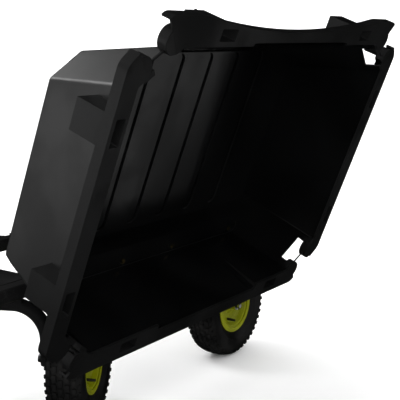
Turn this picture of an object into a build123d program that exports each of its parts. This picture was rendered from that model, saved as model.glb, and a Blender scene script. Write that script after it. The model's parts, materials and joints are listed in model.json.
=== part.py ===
"""Four-wheeled tow-behind garden cart with a moulded tub that tips over its left side.

Millimetres. +X is the way the cart is towed, +Y is the dump side, +Z is up. Everything is
modelled level and straight ahead, between the axles, and is then set in its rest pose:
the tub tipped on its stops, the front axle steered and the drawbar lowered.
"""

import os
from math import cos, hypot, radians, sin

from build123d import *

os.makedirs("parts", exist_ok=True)

# ---- Driving dimensions ----
WHEELBASE = 790.0
WHEEL_OD = 330.0
TYRE_WIDTH = 100.0
RIM_SEAT_R = 76.0
RIM_FLANGE_R = 86.5
RIM_WIDTH = 76.0
WHEEL_MID_Y = 317.0  # middle plane of each wheel from the centreline

SPINDLE_R = 8.0
RUN = 0.05  # radial running clearance of shafts and bushes
GAP = 0.3  # clear gap between pieces that move past each other
HUB_R = 15.0
HUB_BORE_R = 12.0
HUB_LENGTH = 84.0
BUSH_LENGTH = 24.0
WASHER_T = 3.0

TUBE_R = 19.0  # round tube of the axle arches and the drawbar
TUBE_WALL = 2.5
ARCH_LEG_Y = 226.5
ARCH_TOP_Z = 331.0
ARCH_BEND_R = 92.0
LEG_TAIL = 16.0  # how far each leg runs on below the spindle

RAIL = 38.0  # square rail section
RAIL_WALL = 2.5
RAIL_Y = 210.0
RAIL_TOP_Z = 398.0
RAIL_LENGTH = 960.0

BOLSTER_LENGTH = 350.0
BOLSTER_WIDTH = 90.0
BOLSTER_HEIGHT = 37.5
BOLSTER_WALL = 4.0
PLATE_R = 75.0
PLATE_T = 5.0
KINGPIN_R = 10.0

HINGE_Y = 303.0
HINGE_Z = 443.0
HINGE_ROD_R = 6.0
SLEEVE_R = 12.0
SLEEVE_LENGTH = 50.0
EAR_R = 11.0
EAR_T = 6.0
STRAP_T = 4.0
STRAP_WIDTH = 44.0
HINGE_BOLT_X = (-412.0, -112.0, 112.0, 412.0)

TIP_ANGLE = 111.3
STEER_ANGLE = 25.0
DRAWBAR_DROP = 17.0

TUB_X = -8.0  # middle of the tub along the cart
TUB_FLOOR_Z = 402.0
TUB_DEPTH = 283.0
TUB_WALL = 5.5
TUB_FLOOR_T = 10.0
RIM_T = 6.0
SKIRT_HEIGHT = 26.0
SKIRT_T = 5.0

DRAWBAR_LENGTH = 860.0
HITCH_PIN_R = 7.9
HITCH_GAP = 32.0
HITCH_PLATE_T = 6.0

# ---- Places worked out from them ----
WHEEL_R = WHEEL_OD / 2
FRONT_X = WHEELBASE / 2
REAR_X = -WHEELBASE / 2
TUB_TOP_Z = TUB_FLOOR_Z + TUB_DEPTH
RAIL_BASE_Z = RAIL_TOP_Z - RAIL
BOLSTER_TOP_Z = ARCH_TOP_Z + BOLSTER_HEIGHT
LOWER_PLATE_TOP_Z = BOLSTER_TOP_Z + PLATE_T
UPPER_PLATE_Z = LOWER_PLATE_TOP_Z + GAP
UPPER_PLATE_TOP_Z = UPPER_PLATE_Z + PLATE_T
LEDGE_Z = HINGE_Z + SLEEVE_R + STRAP_T  # underside of the tub's hinge ledge
HUB_OUTER_Y = WHEEL_MID_Y + HUB_LENGTH / 2
SPINDLE_END_Y = HUB_OUTER_Y + 14.0
PIVOT_X = FRONT_X + BOLSTER_WIDTH / 2 + 40.0
PIVOT_Z = ARCH_TOP_Z + BOLSTER_HEIGHT / 2 - 6.0


def about(point, turn):
    """A turn about a point other than the origin."""
    return Pos(*point) * turn * Pos(*[-value for value in point])


AS_BUILT = Pos(0, 0, 0)
TIPPED = about((0, HINGE_Y, HINGE_Z), Rot(-TIP_ANGLE, 0, 0))
STEERED = about((FRONT_X, 0, 0), Rot(0, 0, STEER_ANGLE))
LOWERED = STEERED * about((PIVOT_X, 0, PIVOT_Z), Rot(0, DRAWBAR_DROP, 0))


def across(x):
    """A plane square to the cart's length at x, with Y and Z as its own axes."""
    return Plane(origin=(x, 0, 0), x_dir=(0, 1, 0), z_dir=(1, 0, 0))


def lengthwise(y):
    """A plane square to the cart's width at y, with X and Z as its own axes."""
    return Plane(origin=(0, y, 0), x_dir=(1, 0, 0), z_dir=(0, -1, 0))


# ---- Rails ----
def make_rail(y):
    """A square tube along the cart, open at both ends."""
    with BuildPart() as rail:
        with BuildSketch(across(-RAIL_LENGTH / 2)):
            with Locations((y, RAIL_TOP_Z - RAIL / 2)):
                RectangleRounded(RAIL, RAIL, 4)
                RectangleRounded(RAIL - 2 * RAIL_WALL, RAIL - 2 * RAIL_WALL, 2, mode=Mode.SUBTRACT)
        extrude(amount=RAIL_LENGTH)
    return rail


left_rail = make_rail(RAIL_Y)
left_rail.part.label = "left_rail"
right_rail = make_rail(-RAIL_Y)
right_rail.part.label = "right_rail"

# Plastic plugs that close the rails' ends, each a cap with a stub inside the tube.
CAP_T = 3.0
STUB_LENGTH = 12.0
with BuildPart() as rail_end_caps:
    for y in (-RAIL_Y, RAIL_Y):
        for end in (-1, 1):
            face = end * RAIL_LENGTH / 2
            with BuildSketch(across(face)):
                with Locations((y, RAIL_TOP_Z - RAIL / 2)):
                    RectangleRounded(RAIL, RAIL, 4)
            extrude(amount=end * CAP_T)
            with BuildSketch(across(face)):
                with Locations((y, RAIL_TOP_Z - RAIL / 2)):
                    RectangleRounded(RAIL - 2 * RAIL_WALL - 2 * GAP, RAIL - 2 * RAIL_WALL - 2 * GAP, 2.5)
            extrude(amount=-end * STUB_LENGTH)
rail_end_caps.part.label = "rail_end_caps"

# ---- Crossmembers between the rails ----
CROSS_SPAN = 2 * RAIL_Y - RAIL
CROSS_WIDTH = 130.0
CROSS_WALL = 3.5


def make_crossmember(x, width, base_z):
    """A channel, open downwards, welded between the rails with its top flush with theirs."""
    height = RAIL_TOP_Z - base_z
    with BuildPart() as crossmember:
        with BuildSketch(lengthwise(CROSS_SPAN / 2)):
            with Locations((x, base_z + height / 2)):
                Rectangle(width, height)
            with Locations((x, base_z + (height - CROSS_WALL) / 2)):
                Rectangle(width - 2 * CROSS_WALL, height - CROSS_WALL, mode=Mode.SUBTRACT)
        extrude(amount=CROSS_SPAN)
    return crossmember


front_crossmember = make_crossmember(FRONT_X, CROSS_WIDTH, UPPER_PLATE_TOP_Z)
front_crossmember.part.label = "front_crossmember"
centre_crossmember = make_crossmember(0.0, 60.0, RAIL_BASE_Z + 8.0)
centre_crossmember.part.label = "centre_crossmember"
rear_crossmember = make_crossmember(REAR_X, CROSS_WIDTH, RAIL_BASE_Z)
rear_crossmember.part.label = "rear_crossmember"


# ---- Axle arches ----
def make_arch(x, pin_hole):
    """A tube bent into an arch: level over the top, with a leg down to each spindle."""
    top_z = ARCH_TOP_Z - TUBE_R
    foot_z = WHEEL_R - LEG_TAIL
    corners = [(-ARCH_LEG_Y, foot_z), (-ARCH_LEG_Y, top_z), (ARCH_LEG_Y, top_z), (ARCH_LEG_Y, foot_z)]
    with BuildPart() as arch:
        with BuildLine(across(x)) as run:
            FilletPolyline(*corners, radius=ARCH_BEND_R)
        with BuildSketch(Plane(origin=(x, -ARCH_LEG_Y, foot_z), z_dir=(0, 0, 1))):
            Circle(TUBE_R)
            Circle(TUBE_R - TUBE_WALL, mode=Mode.SUBTRACT)
        sweep(path=run.wires()[0])
        for side in (-1, 1):
            with Locations(Plane(origin=(x, side * ARCH_LEG_Y, WHEEL_R), z_dir=(0, 1, 0))):
                Cylinder(SPINDLE_R, 3 * TUBE_R, mode=Mode.SUBTRACT)
        if pin_hole:
            with Locations((x, 0, top_z)):
                Cylinder(KINGPIN_R + RUN, 3 * TUBE_R, mode=Mode.SUBTRACT)
    return arch


front_axle_arch = make_arch(FRONT_X, pin_hole=True)
front_axle_arch.part.label = "front_axle_arch"
rear_axle_arch = make_arch(REAR_X, pin_hole=False)
rear_axle_arch.part.label = "rear_axle_arch"


# ---- Bolsters on the arches ----
def make_bolster(x, top_z, length, pin_hole):
    """A channel, open downwards, that sits on an arch's level top."""
    height = top_z - ARCH_TOP_Z
    with BuildPart() as bolster:
        with BuildSketch(lengthwise(length / 2)):
            with Locations((x, ARCH_TOP_Z + height / 2)):
                Rectangle(BOLSTER_WIDTH, height)
            with Locations((x, ARCH_TOP_Z + (height - BOLSTER_WALL) / 2)):
                Rectangle(BOLSTER_WIDTH - 2 * BOLSTER_WALL, height - BOLSTER_WALL, mode=Mode.SUBTRACT)
        extrude(amount=length)
        # Two webs inside carry the load down onto the tube.
        for side in (-1, 1):
            with Locations((x, side * length / 4, ARCH_TOP_Z + (height - BOLSTER_WALL) / 2)):
                Box(BOLSTER_WIDTH - 2 * BOLSTER_WALL, BOLSTER_WALL, height - BOLSTER_WALL)
        if pin_hole:
            with Locations((x, 0, top_z)):
                Cylinder(KINGPIN_R + RUN, 4 * BOLSTER_WALL, mode=Mode.SUBTRACT)
    return bolster


front_bolster = make_bolster(FRONT_X, BOLSTER_TOP_Z, BOLSTER_LENGTH, pin_hole=True)
front_bolster.part.label = "front_bolster"
rear_bolster = make_bolster(REAR_X, RAIL_BASE_Z, 2 * RAIL_Y + RAIL, pin_hole=False)
rear_bolster.part.label = "rear_bolster"

# ---- Turntable and kingpin ----
BOLT_RING_R = 56.0
PLATE_BOLT_R = 4.0


def make_plate(base_z, bore):
    """A round steel plate with a centre bore."""
    with BuildPart() as plate:
        with BuildSketch(Plane.XY.offset(base_z)):
            with Locations((FRONT_X, 0)):
                Circle(PLATE_R)
                Circle(bore, mode=Mode.SUBTRACT)
        extrude(amount=PLATE_T)
        chamfer(plate.edges().filter_by(GeomType.CIRCLE).group_by(SortBy.RADIUS)[-1], 0.8)
    return plate


lower_turntable_plate = make_plate(BOLSTER_TOP_Z, KINGPIN_R + RUN)
lower_turntable_plate.part.label = "lower_turntable_plate"
upper_turntable_plate = make_plate(UPPER_PLATE_Z, KINGPIN_R)
upper_turntable_plate.part.label = "upper_turntable_plate"

PIN_TAIL = 26.0
NUT_AF = 30.0
NUT_H = 12.0
ARCH_BASE_Z = ARCH_TOP_Z - 2 * TUBE_R
with BuildPart() as kingpin:
    with BuildSketch(Plane.XY.offset(ARCH_BASE_Z - PIN_TAIL)):
        with Locations((FRONT_X, 0)):
            Circle(KINGPIN_R)
    extrude(amount=UPPER_PLATE_TOP_Z - ARCH_BASE_Z + PIN_TAIL)
    with BuildSketch(Plane.XY.offset(UPPER_PLATE_TOP_Z)):
        with Locations((FRONT_X, 0)):
            RegularPolygon(NUT_AF / 2, 6, major_radius=False)
    extrude(amount=NUT_H)
    chamfer(kingpin.faces().sort_by(Axis.Z)[0].edges(), 1.0)
kingpin.part.label = "kingpin"

NUT_TOP_Z = ARCH_BASE_Z - GAP - WASHER_T
with BuildPart() as kingpin_nut:
    with BuildSketch(Plane.XY.offset(ARCH_BASE_Z - GAP)):
        with Locations((FRONT_X, 0)):
            Circle(NUT_AF / 2 + 3)
            Circle(KINGPIN_R, mode=Mode.SUBTRACT)
    extrude(amount=-WASHER_T)
    with BuildSketch(Plane.XY.offset(NUT_TOP_Z)):
        with Locations((FRONT_X, 0)):
            RegularPolygon(NUT_AF / 2, 6, major_radius=False)
            Circle(KINGPIN_R, mode=Mode.SUBTRACT)
    extrude(amount=-NUT_H)
kingpin_nut.part.label = "kingpin_nut"


# ---- Spindles, their spacers, washers and split pins ----
SPACER_R = 12.0
LEG_OUTER_Y = ARCH_LEG_Y + TUBE_R
HUB_INNER_Y = WHEEL_MID_Y - HUB_LENGTH / 2
SPLIT_PIN_R = 1.6
SPLIT_PIN_Y = SPINDLE_END_Y - 6.0
LEG_INNER_Y = ARCH_LEG_Y - TUBE_R


def hub_plane(x, y, side):
    """A plane on the axle line at y, facing out of the cart."""
    return Plane(origin=(x, side * y, WHEEL_R), x_dir=(1, 0, 0), z_dir=(0, side, 0))


def make_spindles(x):
    """Two stub spindles, each through its leg, with a head on the inner side."""
    with BuildPart() as spindles:
        for side in (-1, 1):
            with BuildSketch(hub_plane(x, LEG_INNER_Y, side)):
                Circle(SPINDLE_R)
            extrude(amount=SPINDLE_END_Y - LEG_INNER_Y)
            with BuildSketch(hub_plane(x, LEG_INNER_Y, side)):
                Circle(SPINDLE_R + 3)
            extrude(amount=-5)
            with Locations((x, side * SPLIT_PIN_Y, WHEEL_R)):
                Cylinder(SPLIT_PIN_R, 3 * SPINDLE_R, mode=Mode.SUBTRACT)
        chamfer(spindles.faces().sort_by(Axis.Y)[-1].edges(), 1.2)
        chamfer(spindles.faces().sort_by(Axis.Y)[0].edges(), 1.2)
    return spindles


def make_spacers(x):
    """A tube between each leg and its hub, and a washer outside the hub."""
    runs = ((LEG_OUTER_Y + 4, HUB_INNER_Y - GAP, SPACER_R), (HUB_OUTER_Y + GAP, HUB_OUTER_Y + GAP + WASHER_T, 14))
    with BuildPart() as spacers:
        for side in (-1, 1):
            for start, stop, radius in runs:
                with BuildSketch(hub_plane(x, start, side)):
                    Circle(radius)
                    Circle(SPINDLE_R, mode=Mode.SUBTRACT)
                extrude(amount=stop - start)
            with BuildSketch(hub_plane(x, LEG_OUTER_Y, side)):
                Circle(SPINDLE_R + 2)
                Circle(SPINDLE_R, mode=Mode.SUBTRACT)
            extrude(amount=4)
    return spacers


def make_split_pins(x):
    """A split pin through each spindle's end: a ring on top and bent legs below."""
    with BuildPart() as pins:
        for side in (-1, 1):
            with Locations((x, side * SPLIT_PIN_Y, WHEEL_R)):
                Cylinder(SPLIT_PIN_R, 2 * SPINDLE_R + 8)
            ring = Plane(
                origin=(x, side * SPLIT_PIN_Y, WHEEL_R + SPINDLE_R + 8), x_dir=(1, 0, 0), z_dir=(0, 1, 0)
            )
            with Locations(ring):
                Torus(4.0, 1.2)
    return pins


front_spindles = make_spindles(FRONT_X)
front_spindles.part.label = "front_spindles"
front_spacers = make_spacers(FRONT_X)
front_spacers.part.label = "front_spacers"
front_split_pins = make_split_pins(FRONT_X)
front_split_pins.part.label = "front_split_pins"
rear_spindles = make_spindles(REAR_X)
rear_spindles.part.label = "rear_spindles"
rear_spacers = make_spacers(REAR_X)
rear_spacers.part.label = "rear_spacers"
rear_split_pins = make_split_pins(REAR_X)
rear_split_pins.part.label = "rear_split_pins"

# ---- Wheels ----
TYRE_WALL = 8.0
RIM_T_SHEET = 3.0
TREAD_HALF = 36.0
BEAD_HALF = RIM_WIDTH / 2 - 4.0
DISC_Y = 16.0  # the disc sits outboard of the wheel's middle plane
VALVE_R = 4.0
VALVE_X = 14.0  # the valve stem's place from the axle
VALVE_DOWN = 46.0


def wheel_plane(x, side):
    """A plane through an axle: its X runs outwards along the axle, its Y is the wheel's radius."""
    return Plane(origin=(x, side * WHEEL_MID_Y, WHEEL_R), x_dir=(0, side, 0), z_dir=(side, 0, 0))


def make_tyre(x, side):
    """A hollow tyre: a crowned tread, round shoulders and walls down to two beads."""
    half = TYRE_WIDTH / 2
    plane = wheel_plane(x, side)
    with BuildPart() as tyre:
        with BuildSketch(plane):
            with BuildLine():
                Polyline((-BEAD_HALF, RIM_SEAT_R + 12), (-BEAD_HALF, RIM_SEAT_R), (-BEAD_HALF + 9, RIM_SEAT_R))
                Line((-BEAD_HALF + 9, RIM_SEAT_R), (-BEAD_HALF + 9, RIM_SEAT_R + 14))
                Spline(
                    (-BEAD_HALF + 9, RIM_SEAT_R + 14),
                    (-half + TYRE_WALL, 122),
                    (-TREAD_HALF, WHEEL_R - 14),
                    (0, WHEEL_R - 10),
                    (TREAD_HALF, WHEEL_R - 14),
                    (half - TYRE_WALL, 122),
                    (BEAD_HALF - 9, RIM_SEAT_R + 14),
                )
                Line((BEAD_HALF - 9, RIM_SEAT_R + 14), (BEAD_HALF - 9, RIM_SEAT_R))
                Polyline((BEAD_HALF - 9, RIM_SEAT_R), (BEAD_HALF, RIM_SEAT_R), (BEAD_HALF, RIM_SEAT_R + 12))
                Spline((BEAD_HALF, RIM_SEAT_R + 12), (half - 4, 104), (half, 124), (half - 3, 142), (TREAD_HALF, WHEEL_R - 5))
                ThreePointArc((TREAD_HALF, WHEEL_R - 5), (0, WHEEL_R), (-TREAD_HALF, WHEEL_R - 5))
                Spline((-TREAD_HALF, WHEEL_R - 5), (-half + 3, 142), (-half, 124), (-half + 4, 104), (-BEAD_HALF, RIM_SEAT_R + 12))
            make_face()
        revolve(axis=Axis(plane.origin, plane.x_dir))
    return tyre


def make_rim(x, side):
    """A pressed steel rim: two flanges, a dropped barrel, a dished disc and a hub tube."""
    plane = wheel_plane(x, side)
    half = RIM_WIDTH / 2
    seat = RIM_SEAT_R
    t = RIM_T_SHEET
    with BuildPart() as rim:
        with BuildSketch(plane):
            with BuildLine():
                Polyline(
                    (-half, RIM_FLANGE_R), (-half + t, RIM_FLANGE_R), (-half + t + 1, seat), (-14, seat),
                    (-10, seat - 8), (10, seat - 8), (14, seat), (half - t - 1, seat),
                    (half - t, RIM_FLANGE_R), (half, RIM_FLANGE_R), (half, seat - t), (16, seat - t),
                    (12, seat - 8 - t), (-12, seat - 8 - t), (-16, seat - t), (-half, seat - t),
                    close=True,
                )
            make_face()
        revolve(axis=Axis(plane.origin, plane.x_dir))
        with BuildSketch(plane):
            with BuildLine():
                disc = [
                    (half - t, seat - t + 1), (half - t - 1, 66), (DISC_Y + 6, 58), (DISC_Y, 44),
                    (DISC_Y + 1, 30), (DISC_Y + 9, 20), (DISC_Y + 9, HUB_R - 0.5),
                ]
                back = [(u - t, v) for u, v in reversed(disc)]
                back[-1] = (half - 2 * t, seat - t + 1)
                Polyline(*disc, *back, close=True)
            make_face()
        revolve(axis=Axis(plane.origin, plane.x_dir))
        with BuildSketch(hub_plane(x, HUB_INNER_Y, side)):
            Circle(HUB_R)
        extrude(amount=HUB_LENGTH)
        with BuildSketch(hub_plane(x, HUB_INNER_Y - 1, side)):
            Circle(HUB_BORE_R)
        extrude(amount=HUB_LENGTH + 2, mode=Mode.SUBTRACT)
        with Locations(Plane(origin=(x + VALVE_X, side * (WHEEL_MID_Y + DISC_Y), WHEEL_R - VALVE_DOWN), z_dir=(0, 1, 0))):
            Cylinder(VALVE_R, 3 * DISC_Y, mode=Mode.SUBTRACT)
    return rim


def make_bushes(x, side):
    """A flanged bush pressed into each end of the hub."""
    with BuildPart() as bushes:
        for start, way in ((HUB_INNER_Y, 1), (HUB_OUTER_Y, -1)):
            plane = hub_plane(x, start, side)
            with BuildSketch(plane):
                Circle(HUB_BORE_R)
                Circle(SPINDLE_R + RUN, mode=Mode.SUBTRACT)
            extrude(amount=way * BUSH_LENGTH)
    return bushes


def make_valve(x, side):
    """A rubber valve stem through the disc, with its cap."""
    with BuildPart() as valve:
        place = Plane(
            origin=(x + VALVE_X, side * (WHEEL_MID_Y + DISC_Y - 5), WHEEL_R - VALVE_DOWN), z_dir=(0, side, 0)
        )
        with BuildSketch(place):
            Circle(VALVE_R)
        extrude(amount=26)
        with BuildSketch(place):
            Circle(VALVE_R + 1.5)
        extrude(amount=-6)
        with BuildSketch(place.offset(26)):
            Circle(VALVE_R - 0.4)
        extrude(amount=9)
        chamfer(valve.faces().sort_by(Axis.Y)[-1 if side > 0 else 0].edges(), 1.0)
    return valve


WHEELS = {
    "front_left": (FRONT_X, 1),
    "front_right": (FRONT_X, -1),
    "rear_left": (REAR_X, 1),
    "rear_right": (REAR_X, -1),
}
wheel_pieces = {}
for corner, (x, side) in WHEELS.items():
    pieces = {
        "tyre": make_tyre(x, side),
        "rim": make_rim(x, side),
        "hub_bushes": make_bushes(x, side),
        "valve": make_valve(x, side),
    }
    for kind, piece in pieces.items():
        piece.part.label = f"{corner}_{kind}"
    wheel_pieces[corner] = list(pieces.values())

# ---- Hinge under the tub's left edge ----
def slab(x, thickness, points):
    """A flat plate square to the cart's length, centred on x, with a straight-sided outline."""
    with BuildPart() as plate:
        with BuildSketch(across(x - thickness / 2)):
            with BuildLine():
                Polyline(*points, close=True)
            make_face()
        extrude(amount=thickness)
    return plate.part


RAIL_SIDE_Y = RAIL_Y + RAIL / 2
EAR_ARM_Y = HINGE_Y - 13.0
EAR_ARM_Z = (RAIL_BASE_Z + 4.0, RAIL_TOP_Z - 2.0)
EAR_X = [x - (1 if x > 0 else -1) * (SLEEVE_LENGTH / 2 + GAP + EAR_T / 2) for x in HINGE_BOLT_X]
with BuildPart() as hinge_ears:
    for x in EAR_X:
        add(
            slab(
                x,
                EAR_T,
                [
                    (RAIL_SIDE_Y, EAR_ARM_Z[0]),
                    (EAR_ARM_Y, EAR_ARM_Z[0]),
                    (EAR_ARM_Y, EAR_ARM_Z[1]),
                    (HINGE_Y + 9.0, HINGE_Z - 6.0),
                    (HINGE_Y - 10.0, HINGE_Z + 2.0),
                    (EAR_ARM_Y - 12.0, EAR_ARM_Z[1]),
                    (RAIL_SIDE_Y, EAR_ARM_Z[1]),
                ],
            )
        )
        with BuildSketch(across(x - EAR_T / 2)):
            with Locations((HINGE_Y, HINGE_Z)):
                Circle(EAR_R)
        extrude(amount=EAR_T)
        with BuildSketch(across(x - EAR_T / 2)):
            with Locations((HINGE_Y, HINGE_Z)):
                Circle(HINGE_ROD_R)
        extrude(amount=EAR_T, mode=Mode.SUBTRACT)
hinge_ears.part.label = "hinge_ears"

ROD_END_X = HINGE_BOLT_X[-1] + SLEEVE_LENGTH / 2 + 14.0
ROD_HEAD_T = 4.0
with BuildPart() as hinge_rod:
    with BuildSketch(across(-ROD_END_X)):
        with Locations((HINGE_Y, HINGE_Z)):
            Circle(HINGE_ROD_R)
    extrude(amount=2 * ROD_END_X)
    for end in (-1, 1):
        with BuildSketch(across(end * ROD_END_X)):
            with Locations((HINGE_Y, HINGE_Z)):
                Circle(HINGE_ROD_R + 3)
        extrude(amount=end * ROD_HEAD_T)
hinge_rod.part.label = "hinge_rod"

STRAP_Z = HINGE_Z + SLEEVE_R
STRAP_Y = (HINGE_Y - 18.0, HINGE_Y + 42.0)
HINGE_BOLT_Y = HINGE_Y + 27.0
HINGE_BOLT_R = 4.0
STRAP_END = HINGE_BOLT_X[-1] + SLEEVE_LENGTH / 2 + 5.0
with BuildPart() as hinge_strap:
    with BuildSketch(Plane.XY.offset(STRAP_Z)):
        with Locations((0, (STRAP_Y[0] + STRAP_Y[1]) / 2)):
            Rectangle(2 * STRAP_END, STRAP_Y[1] - STRAP_Y[0])
        with Locations(*[(x, HINGE_BOLT_Y) for x in HINGE_BOLT_X]):
            Circle(HINGE_BOLT_R, mode=Mode.SUBTRACT)
    extrude(amount=STRAP_T)
    for x in HINGE_BOLT_X:
        with BuildSketch(across(x - SLEEVE_LENGTH / 2)):
            with Locations((HINGE_Y, HINGE_Z)):
                Circle(SLEEVE_R)
            with Locations((HINGE_Y, HINGE_Z + SLEEVE_R / 2)):
                Rectangle(2 * SLEEVE_R - 4, SLEEVE_R + 1)
        extrude(amount=SLEEVE_LENGTH)
        with BuildSketch(across(x - SLEEVE_LENGTH / 2)):
            with Locations((HINGE_Y, HINGE_Z)):
                Circle(HINGE_ROD_R + RUN)
        extrude(amount=SLEEVE_LENGTH, mode=Mode.SUBTRACT)
hinge_strap.part.label = "hinge_strap"

# ---- Tub ----
# Half-lengths and side distances of the outside of the walls, at the floor and at the rim.
FLOOR_PLAN = {"half": 518.0, "far": 258.0, "dump": 351.0, "far_cut": (78.0, 62.0), "dump_cut": (85.0, 104.0)}
RIM_PLAN = {"half": 583.0, "far": 383.0, "dump": 383.0, "far_cut": (116.0, 84.0), "dump_cut": (118.0, 90.0)}
MID_X = (-285.0, 200.0)  # stretch between the stake pockets, where the side walls bow out
MID_FLOOR = (-250.0, 345.0)
MID_RIM = (-391.0, 402.0)
RIM_HALF = 626.0
RIM_DUMP_Y = 432.0
RIM_FAR_Y = 445.0
RIM_FAR_MID_Y = 410.0
CREASE_R = 14.0


def blend(low, high, z):
    """A size between its values at the floor and at the rim, or past them on the same slope."""
    return low + (high - low) * (z - TUB_FLOOR_Z) / TUB_DEPTH


def wall_outline(z, inset):
    """The tub's eight-sided plan at height z, drawn in from the outside by inset."""
    half, far, dump = (blend(FLOOR_PLAN[key], RIM_PLAN[key], z) - inset for key in ("half", "far", "dump"))
    points = []
    for sign_x, sign_y in ((1, -1), (1, 1), (-1, 1), (-1, -1)):
        key = "dump_cut" if sign_y > 0 else "far_cut"
        cut_x, cut_y = (blend(FLOOR_PLAN[key][i], RIM_PLAN[key][i], z) - 0.45 * inset for i in (0, 1))
        side = dump if sign_y > 0 else -far
        along_side = (TUB_X + sign_x * (half - cut_x), side)
        along_end = (TUB_X + sign_x * half, side - sign_y * cut_y)
        points += [along_side, along_end] if sign_x * sign_y < 0 else [along_end, along_side]
    return points


def mid_outline(z, inset):
    """The plan of the bowed stretch between the stake pockets."""
    low_y = blend(MID_FLOOR[0], MID_RIM[0], z) + inset
    high_y = blend(MID_FLOOR[1], MID_RIM[1], z) - inset
    return [
        (MID_X[0] + inset, low_y), (MID_X[1] - inset, low_y),
        (MID_X[1] - inset, high_y), (MID_X[0] + inset, high_y),
    ]


def make_block(outline, inset, base_z, top_z):
    """A flared block between two heights, with its creases and its bottom edges rounded."""
    with BuildPart() as block:
        for z in (base_z, top_z):
            with BuildSketch(Plane.XY.offset(z)):
                with BuildLine():
                    Polyline(*outline(z, inset), close=True)
                make_face()
        loft(ruled=True)
        top = block.faces().sort_by(Axis.Z)[-1]
        rounded = block.edges() - top.edges()
        fillet(rounded, CREASE_R - inset)
    return block.part


def ledge_cutter(drop, side_gap):
    """The bar of space under the hinge ledge."""
    return slab(
        TUB_X,
        3 * RIM_PLAN["half"],
        [
            (EAR_ARM_Y - 17.0 - side_gap, TUB_FLOOR_Z - 30.0),
            (EAR_ARM_Y - 17.0 - side_gap, TUB_FLOOR_Z),
            (EAR_ARM_Y - 5.0 - side_gap, LEDGE_Z + drop),
            (2 * HINGE_Y, LEDGE_Z + drop),
            (2 * HINGE_Y, TUB_FLOOR_Z - 30.0),
        ],
    )


LEDGE_T = 9.0
CHANNEL_DEPTH = 3.5
CHANNEL_Y = (308.0, 345.0)
POCKET = (62.0, 28.0)
POCKET_WALL = 5.0
POCKET_DEPTH = 105.0
SIDE_POCKET_X = (-374.0, 308.0)
END_POCKET_Y = (-200.0, 200.0)
END_POCKET_X = 601.0
FAR_POCKET_Y = -403.0
DUMP_POCKET_Y = 401.0
GROOVE_X = [-335.0 + 130.0 * step for step in range(7)]
GROOVE = (44.0, 500.0)
GROOVE_DEPTH = 5.0
NOTCH_WIDTH = 92.0
NOTCH_DEPTH = 45.0

pockets = [(x, y, POCKET[0], POCKET[1]) for x in SIDE_POCKET_X for y in (FAR_POCKET_Y, DUMP_POCKET_Y)]
pockets += [(TUB_X + side * END_POCKET_X, y, POCKET[1], POCKET[0]) for side in (-1, 1) for y in END_POCKET_Y]


def rim_outline():
    """The rim's outer edge: straight ends and dump side, and a far side that curves in."""
    left, right = TUB_X - RIM_HALF, TUB_X + RIM_HALF
    far_bow = TUB_X - 30.0
    Polyline((left + 110, RIM_DUMP_Y), (left, RIM_DUMP_Y - 105), (left, -RIM_FAR_Y + 105))
    Line((left, -RIM_FAR_Y + 105), (left + 95, -RIM_FAR_Y))
    Line((left + 95, -RIM_FAR_Y), (left + 200, -RIM_FAR_Y))
    ThreePointArc((left + 200, -RIM_FAR_Y), (far_bow, -RIM_FAR_MID_Y), (right - 200, -RIM_FAR_Y))
    Line((right - 200, -RIM_FAR_Y), (right - 95, -RIM_FAR_Y))
    Line((right - 95, -RIM_FAR_Y), (right, -RIM_FAR_Y + 105))
    Polyline((right, -RIM_FAR_Y + 105), (right, RIM_DUMP_Y - 105), (right - 110, RIM_DUMP_Y))
    Line((right - 110, RIM_DUMP_Y), (left + 110, RIM_DUMP_Y))


CORNERS = [(sx, sy) for sx in (-1, 1) for sy in (-1, 1)]


def notch_plane(sign_x, sign_y, z):
    """A plane at the middle of a corner's wall facet, with its X square to the facet."""
    cut_x, cut_y = RIM_PLAN["dump_cut"] if sign_y > 0 else RIM_PLAN["far_cut"]
    side = RIM_PLAN["dump"] if sign_y > 0 else RIM_PLAN["far"]
    middle = (TUB_X + sign_x * (RIM_PLAN["half"] - cut_x / 2), sign_y * (side - cut_y / 2), z)
    length = hypot(cut_x, cut_y)
    return Plane(origin=middle, x_dir=(sign_x * cut_y / length, sign_y * cut_x / length, 0), z_dir=(0, 0, 1))


outer_block = make_block(wall_outline, 0.0, TUB_FLOOR_Z, TUB_TOP_Z - RIM_T)
outer_mid = make_block(mid_outline, 0.0, TUB_FLOOR_Z, TUB_TOP_Z - RIM_T)
inner_block = make_block(wall_outline, TUB_WALL, TUB_FLOOR_Z + TUB_FLOOR_T, TUB_TOP_Z + 1)
inner_mid = make_block(mid_outline, TUB_WALL, TUB_FLOOR_Z + TUB_FLOOR_T, TUB_TOP_Z + 1)

with BuildPart() as cavity:
    add(inner_block)
    add(inner_mid)
    add(ledge_cutter(LEDGE_T, TUB_WALL), mode=Mode.SUBTRACT)

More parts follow.
